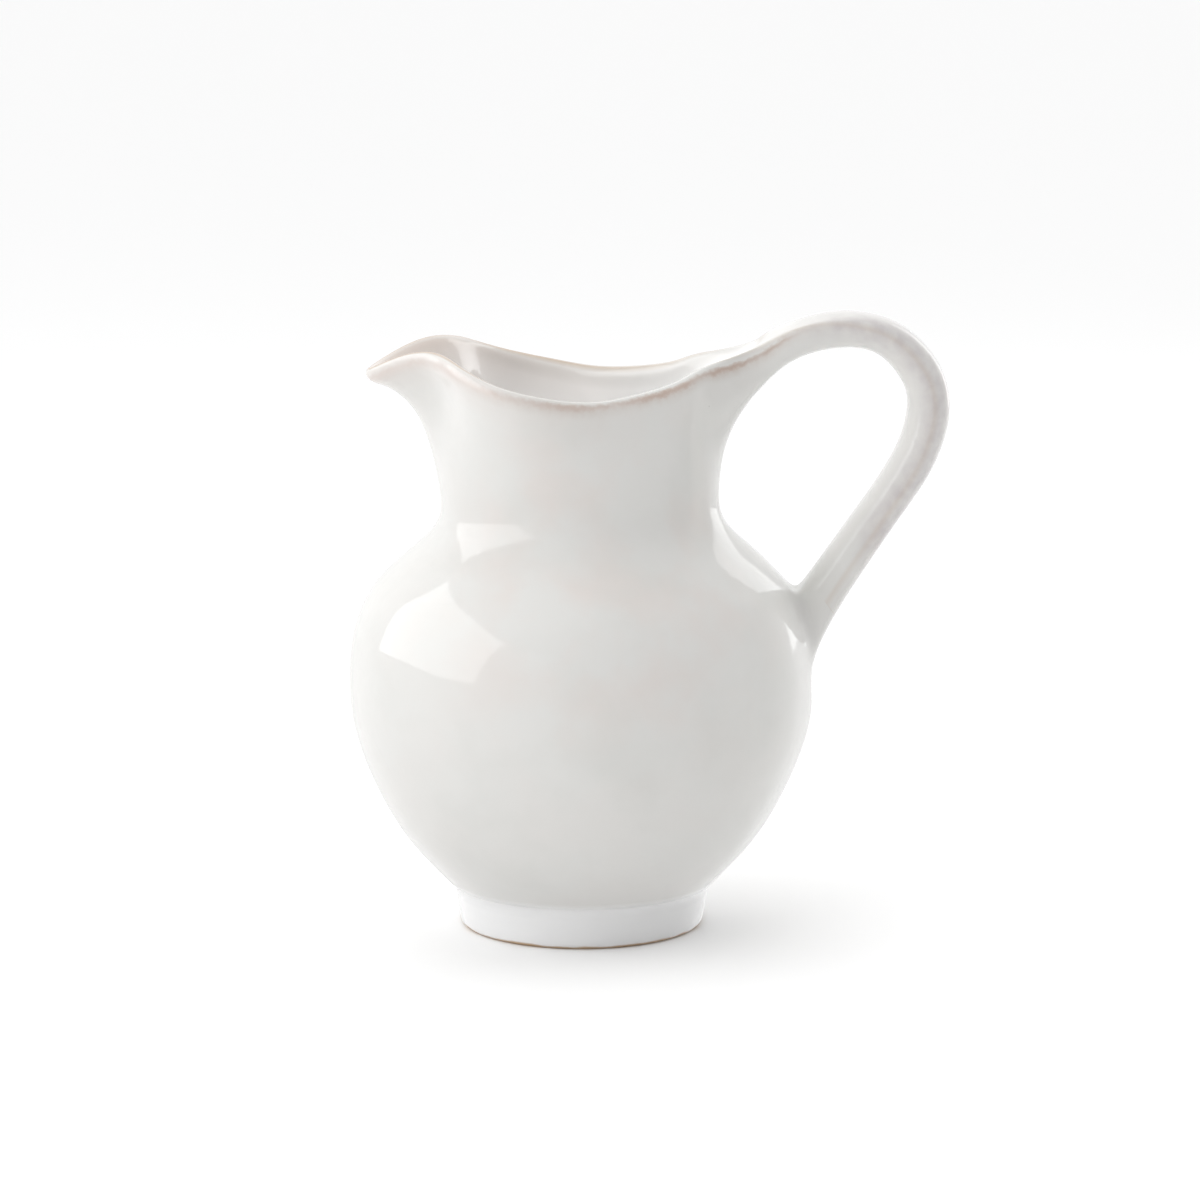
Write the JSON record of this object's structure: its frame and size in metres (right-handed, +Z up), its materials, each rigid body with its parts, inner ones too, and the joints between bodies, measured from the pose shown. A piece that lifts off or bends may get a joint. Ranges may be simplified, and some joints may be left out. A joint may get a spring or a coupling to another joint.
{
  "type": "ceramic pitcher",
  "caption": "Small white glazed ceramic pitcher with a round belly, narrow neck, pulled spout and a strap handle from rim to shoulder, on a low foot ring.",
  "frame": {"origin": "the turning axis of the body, at the height of the table", "axes": "+Z up along the turning axis; +X from the axis towards the handle, so the spout is at -X; +Y to the far side"},
  "size_m": [0.1254, 0.0974, 0.13],
  "materials": {
    "white_glaze": "glossy"
  },
  "bodies": {
    "root": {"body": "white_glaze", "handle": "white_glaze", "foot_ring": "white_glaze"}
  },
  "joints": []
}
